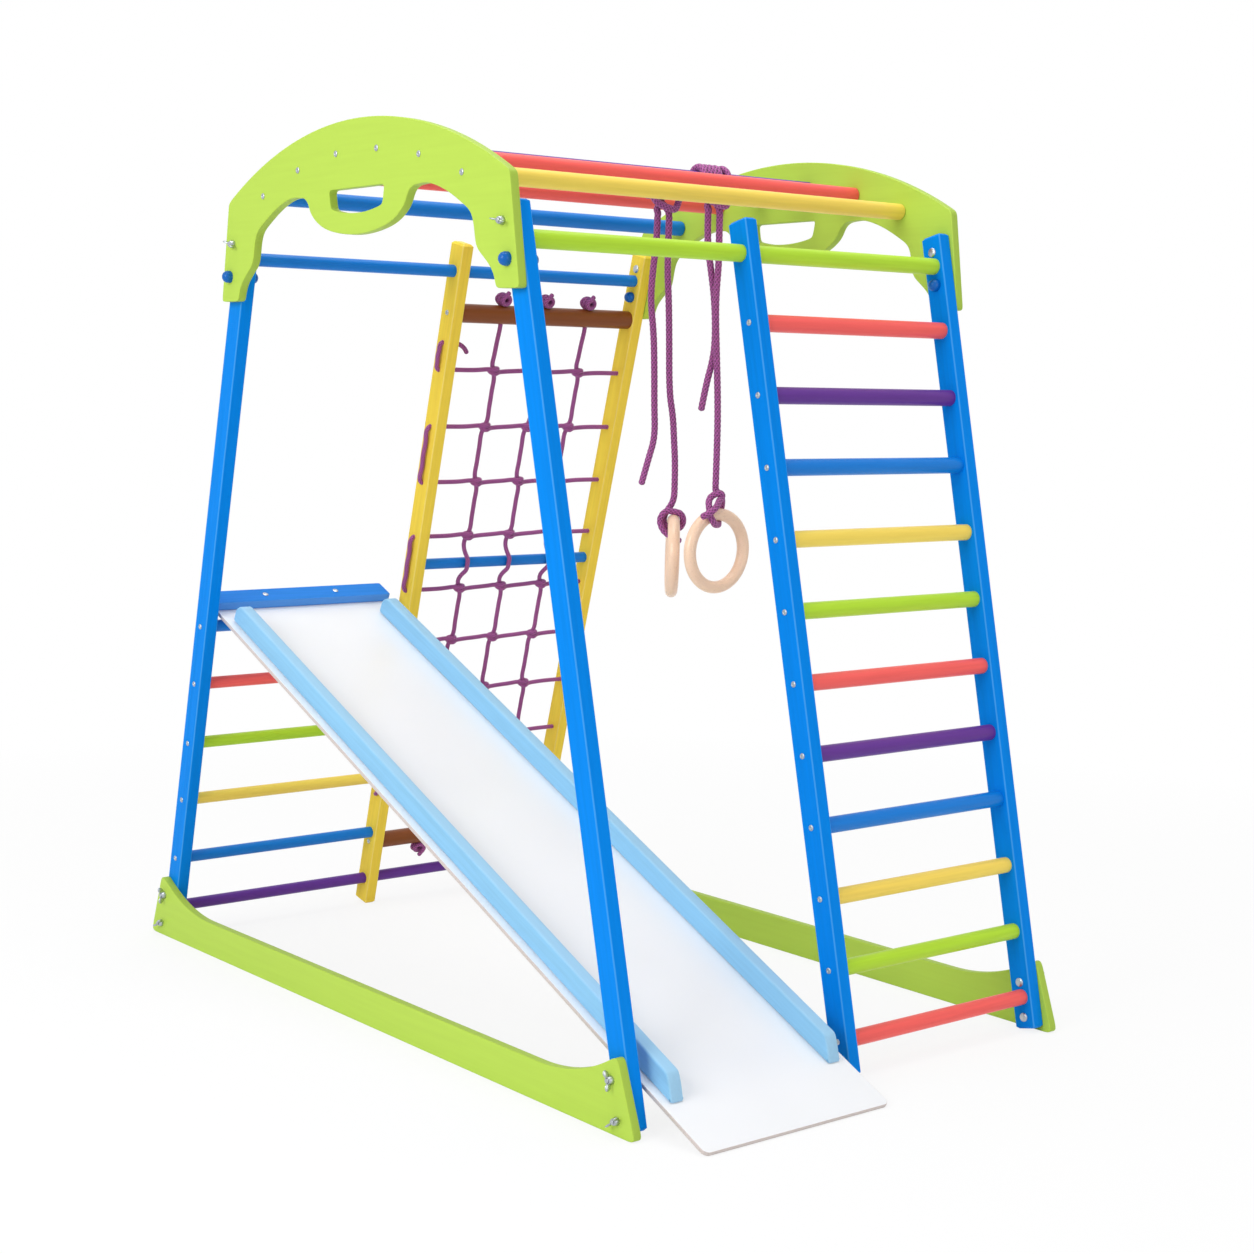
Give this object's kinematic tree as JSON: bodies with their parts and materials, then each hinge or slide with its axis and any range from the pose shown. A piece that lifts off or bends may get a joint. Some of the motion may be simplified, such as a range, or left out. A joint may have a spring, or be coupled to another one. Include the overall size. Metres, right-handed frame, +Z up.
{
  "type": "climbing tower with slide",
  "caption": "Indoor wooden climbing tower with a ladder, a rope net, monkey bars, two hanging rings and a slide that hooks on a back rung.",
  "frame": {"origin": "on the floor, under the middle of the outline", "axes": "+Z up, +X to the right as seen from the side the slide comes down on, +Y to the back"},
  "size_m": [0.879, 1.3866, 1.3059],
  "materials": {
    "lime_plywood": "painted plywood, satin",
    "blue_post": "painted wood, semi-gloss",
    "yellow_post": "painted wood, semi-gloss",
    "red_rod": "painted wood, semi-gloss",
    "purple_rod": "painted wood, semi-gloss",
    "blue_rod": "painted wood, semi-gloss",
    "yellow_rod": "painted wood, semi-gloss",
    "green_rod": "painted wood, semi-gloss",
    "brown_rod": "painted wood, semi-gloss",
    "white_sheet": "smooth lacquered hardboard",
    "pale_blue_rail": "painted wood, satin",
    "blue_board": "painted wood, semi-gloss",
    "zinc": "zinc plated steel",
    "blue_cap": "moulded cap",
    "purple_rope": "braided rope",
    "beech_ring": "lacquered beech"
  },
  "bodies": {
    "frame": {"left_arch": "lime_plywood", "right_arch": "lime_plywood", "left_base_plank": "lime_plywood", "right_base_plank": "lime_plywood", "left_front_post": "blue_post", "middle_front_post": "blue_post", "right_front_post": "blue_post", "left_back_post": "blue_post", "middle_back_post": "yellow_post", "right_back_post": "yellow_post", "monkey_bar_1": "blue_rod", "monkey_bar_2": "red_rod", "monkey_bar_3": "green_rod", "monkey_bar_4": "purple_rod", "monkey_bar_5": "red_rod", "monkey_bar_6": "yellow_rod", "front_top_rail": "green_rod", "back_top_rail": "blue_rod", "ladder_rung_1": "red_rod", "ladder_rung_2": "purple_rod", "ladder_rung_3": "blue_rod", "ladder_rung_4": "yellow_rod", "ladder_rung_5": "green_rod", "ladder_rung_6": "red_rod", "ladder_rung_7": "purple_rod", "ladder_rung_8": "blue_rod", "ladder_rung_9": "yellow_rod", "ladder_rung_10": "green_rod", "ladder_rung_11": "red_rod", "hook_rung": "blue_rod", "back_rung_1": "red_rod", "back_rung_2": "green_rod", "back_rung_3": "yellow_rod", "back_rung_4": "blue_rod", "back_bottom_rail": "purple_rod", "net_top_rod": "brown_rod", "net_middle_rod": "blue_rod", "net_bottom_rod": "brown_rod", "climbing_net": "purple_rope", "bar_screws": "zinc", "rung_screws": "zinc", "carriage_bolts": "zinc", "wing_nuts": "zinc", "ball_cap_bolts": "blue_cap"},
    "slide": {"slide_sheet": "white_sheet", "slide_left_rail": "pale_blue_rail", "slide_right_rail": "pale_blue_rail", "slide_top_board": "blue_board", "slide_hooks": "blue_board", "slide_screws": "zinc"},
    "front_hitch": {"front_hitch": "purple_rope", "front_rope_tail": "purple_rope"},
    "front_rope": {"front_rope": "purple_rope"},
    "front_ring": {"front_ring": "beech_ring", "front_ring_knot": "purple_rope"},
    "back_hitch": {"back_hitch": "purple_rope", "back_rope_tail": "purple_rope"},
    "back_rope": {"back_rope": "purple_rope"},
    "back_ring": {"back_ring": "beech_ring", "back_ring_knot": "purple_rope"}
  },
  "joints": [
    {"name": "slide_lift", "type": "hinge", "parent": "frame", "child": "slide", "pos_m": [-0.212, 0.52716, 0.55242], "axis": [-1, 0, 0], "range_deg": [0, 50]},
    {"name": "front_ring_swing", "type": "hinge", "parent": "frame", "child": "front_hitch", "pos_m": [0.22, -0.00931, 1.2621], "axis": [-1, 0, 0], "range_deg": [0, 32]},
    {"name": "front_ring_sway", "type": "hinge", "parent": "front_hitch", "child": "front_rope", "pos_m": [0.22, -0.00931, 1.2081], "axis": [0, 1, 0], "range_deg": [-25, 25]},
    {"name": "front_ring_twist", "type": "hinge", "parent": "front_rope", "child": "front_ring", "pos_m": [0.234, -0.00931, 0.7941], "axis": [0, 0, 1], "range_deg": [-25, 25]},
    {"name": "back_ring_swing", "type": "hinge", "parent": "frame", "child": "back_hitch", "pos_m": [0.206, 0.09296, 1.2621], "axis": [1, 0, 0], "range_deg": [0, 32]},
    {"name": "back_ring_sway", "type": "hinge", "parent": "back_hitch", "child": "back_rope", "pos_m": [0.206, 0.09296, 1.2081], "axis": [0, 1, 0], "range_deg": [-25, 25]},
    {"name": "back_ring_twist", "type": "hinge", "parent": "back_rope", "child": "back_ring", "pos_m": [0.238, 0.09296, 0.7791], "axis": [0, 0, 1], "range_deg": [-90, 90]}
  ]
}
